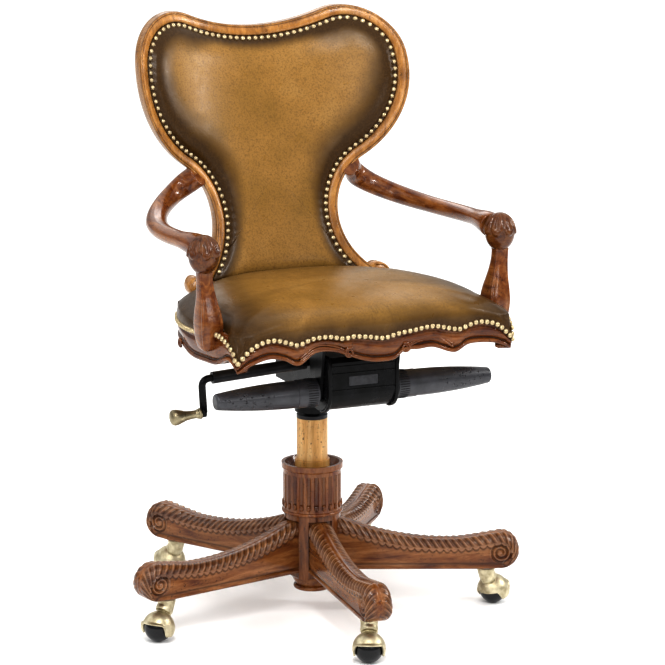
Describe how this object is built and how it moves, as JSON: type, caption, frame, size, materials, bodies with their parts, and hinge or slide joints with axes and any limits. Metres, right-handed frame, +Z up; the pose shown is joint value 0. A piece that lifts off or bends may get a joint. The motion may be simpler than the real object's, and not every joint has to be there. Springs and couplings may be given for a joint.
{
  "type": "desk chair",
  "caption": "Carved walnut desk chair with leather seat and back, curved arms, knee-tilt mechanism, gas lift and a swivel base on hooded ball casters.",
  "frame": {"origin": "on the floor, under the axis of the swivel column", "axes": "+Z up, -Y the way the sitter faces, +X the sitter's left"},
  "size_m": [0.6811, 0.6716, 1.0179],
  "materials": {
    "walnut": "polished, distressed",
    "honey_wood": "polished",
    "sleeve_wood": "polished",
    "inner_wood": "plain",
    "leather": "antiqued",
    "black_steel": "satin",
    "black_plastic": "satin",
    "bright_steel": "ground",
    "brass": "antiqued",
    "ball_black": "gloss",
    "torsion_rubber": "matt"
  },
  "bodies": {
    "base": {"hub_block": "walnut", "hub_foot": "walnut", "fluted_drum": "walnut", "leg_1": "walnut", "leg_2": "walnut", "leg_3": "walnut", "leg_4": "walnut", "leg_5": "walnut", "leg_dowels": "inner_wood", "caster_sockets": "bright_steel", "column_tube": "bright_steel", "guide_bush": "black_plastic", "column_sleeve": "sleeve_wood", "sleeve_collar": "sleeve_wood"},
    "swivel": {"piston_rod": "bright_steel", "thrust_bearing": "bright_steel"},
    "lift": {"gas_cylinder": "bright_steel", "mechanism_housing": "black_steel", "front_cover": "black_plastic", "torsion_sleeve": "torsion_rubber", "pivot_bushes": "black_plastic"},
    "seat": {"pivot_shaft": "bright_steel", "seat_plate": "black_steel", "plate_bolts": "bright_steel", "seat_board": "inner_wood", "front_rail": "walnut", "back_rail": "honey_wood", "side_rail_left": "walnut", "side_rail_right": "walnut", "corner_blocks": "inner_wood", "seat_cushion": "leather", "arm_left": "walnut", "arm_right": "walnut", "arm_post_left": "walnut", "arm_post_right": "walnut", "back_stile_left": "honey_wood", "back_stile_right": "honey_wood", "crest_rail": "honey_wood", "back_cross_rail": "inner_wood", "back_panel": "inner_wood", "back_pad": "leather", "outside_back": "leather"},
    "crank": {"tension_crank": "black_steel", "crank_sleeve": "black_plastic"},
    "knob": {"crank_knob": "brass"},
    "nut": {"tension_nut": "bright_steel"},
    "lock": {"lock_handle": "black_plastic"},
    "height": {"height_handle": "black_plastic"},
    "valve": {"release_pin": "bright_steel"},
    "caster_1": {"caster_hood_1": "brass"},
    "wheel_1": {"caster_ball_1": "ball_black"},
    "caster_2": {"caster_hood_2": "brass"},
    "wheel_2": {"caster_ball_2": "ball_black"},
    "caster_3": {"caster_hood_3": "brass"},
    "wheel_3": {"caster_ball_3": "ball_black"},
    "caster_4": {"caster_hood_4": "brass"},
    "wheel_4": {"caster_ball_4": "ball_black"},
    "caster_5": {"caster_hood_5": "brass"},
    "wheel_5": {"caster_ball_5": "ball_black"}
  },
  "joints": [
    {"name": "base_swivel", "type": "hinge", "parent": "base", "child": "swivel", "pos_m": [0, 0, 0.073], "axis": [0, 0, 1], "continuous": true},
    {"name": "gas_lift", "type": "slide", "parent": "swivel", "child": "lift", "axis": [0, 0, 1], "range_m": [0, 0.1]},
    {"name": "knee_tilt", "type": "hinge", "parent": "lift", "child": "seat", "pos_m": [0, -0.177, 0.426], "axis": [-1, 0, 0], "range_deg": [0, 15], "stiffness_Nm_per_rad": 220, "springref_deg": -34.38},
    {"name": "tension_turn", "type": "hinge", "parent": "lift", "child": "crank", "pos_m": [-0.048, -0.1, 0.4587], "axis": [-0.9982, 0, -0.0593], "range_deg": [-100, 100]},
    {"name": "knob_spin", "type": "hinge", "parent": "crank", "child": "knob", "pos_m": [-0.24162, -0.1, 0.3901], "axis": [-0.9982, 0, -0.0593], "continuous": true},
    {"name": "nut_travel", "type": "slide", "parent": "lift", "child": "nut", "axis": [-0.9982, 0, -0.0593], "range_m": [-0.0013, 0.0013]},
    {"name": "lock_twist", "type": "hinge", "parent": "lift", "child": "lock", "pos_m": [0, -0.177, 0.426], "axis": [1, 0, 0], "range_deg": [0, 30]},
    {"name": "height_twist", "type": "hinge", "parent": "lift", "child": "height", "pos_m": [0, -0.177, 0.426], "axis": [1, 0, 0], "range_deg": [0, 20], "stiffness_Nm_per_rad": 1.5, "springref_deg": -5.73},
    {"name": "valve_press", "type": "slide", "parent": "lift", "child": "valve", "axis": [0, 0, -1], "range_m": [0, 0.0042]},
    {"name": "caster_swivel_1", "type": "hinge", "parent": "base", "child": "caster_1", "pos_m": [-0.29484, -0.06537, 0.069], "axis": [0, 0, 1], "continuous": true},
    {"name": "wheel_spin_1", "type": "hinge", "parent": "caster_1", "child": "wheel_1", "pos_m": [-0.31435, -0.07755, 0.02375], "axis": [-0.5299, 0.848, 0], "continuous": true},
    {"name": "caster_swivel_2", "type": "hinge", "parent": "base", "child": "caster_2", "pos_m": [-0.02894, -0.30061, 0.069], "axis": [0, 0, 1], "continuous": true},
    {"name": "wheel_spin_2", "type": "hinge", "parent": "caster_2", "child": "wheel_2", "pos_m": [-0.03867, -0.32145, 0.02375], "axis": [-0.9063, 0.4226, 0], "continuous": true},
    {"name": "caster_swivel_3", "type": "hinge", "parent": "base", "child": "caster_3", "pos_m": [0.27695, -0.12042, 0.069], "axis": [0, 0, 1], "continuous": true},
    {"name": "wheel_spin_3", "type": "hinge", "parent": "caster_3", "child": "wheel_3", "pos_m": [0.29687, -0.10892, 0.02375], "axis": [0.5, -0.866, 0], "continuous": true},
    {"name": "caster_swivel_4", "type": "hinge", "parent": "base", "child": "caster_4", "pos_m": [0.20011, 0.22618, 0.069], "axis": [0, 0, 1], "continuous": true},
    {"name": "wheel_spin_4", "type": "hinge", "parent": "caster_4", "child": "wheel_4", "pos_m": [0.21161, 0.2461, 0.02375], "axis": [0.866, -0.5, 0], "continuous": true},
    {"name": "caster_swivel_5", "type": "hinge", "parent": "base", "child": "caster_5", "pos_m": [-0.15328, 0.26021, 0.069], "axis": [0, 0, 1], "continuous": true},
    {"name": "wheel_spin_5", "type": "hinge", "parent": "caster_5", "child": "wheel_5", "pos_m": [-0.15727, 0.28286, 0.02375], "axis": [0.9848, 0.1736, 0], "continuous": true}
  ],
  "couplings": [
    {"joint": "nut_travel", "follows": "tension_turn", "m_per_rad": -0.000637},
    {"joint": "valve_press", "follows": "height_twist", "m_per_rad": 0.0115}
  ]
}
